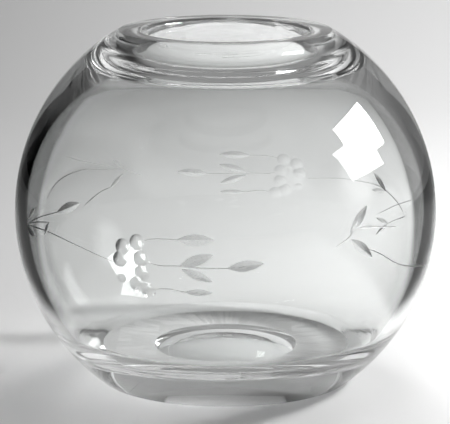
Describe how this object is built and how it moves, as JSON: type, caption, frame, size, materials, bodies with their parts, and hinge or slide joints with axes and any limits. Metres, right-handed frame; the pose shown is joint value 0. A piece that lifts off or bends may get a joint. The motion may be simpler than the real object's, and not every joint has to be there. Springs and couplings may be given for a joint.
{
  "type": "glass rose bowl",
  "caption": "Ball-shaped rose bowl in thick clear glass, cut off flat at the rim and the foot, with a thick floor, a ground hollow under the foot and wheel-cut leaves and berries.",
  "frame": {"origin": "centre of the foot, in the plane that the bowl stands on", "axes": "+Z is the bowl's turning axis, up through the mouth; -Y faces the picture's viewer"},
  "size_m": [0.1524, 0.1524, 0.127],
  "materials": {
    "clear_glass": "polished clear glass, with satin wheel-cut decoration"
  },
  "bodies": {
    "root": {"glass_bowl": "clear_glass"}
  },
  "joints": []
}
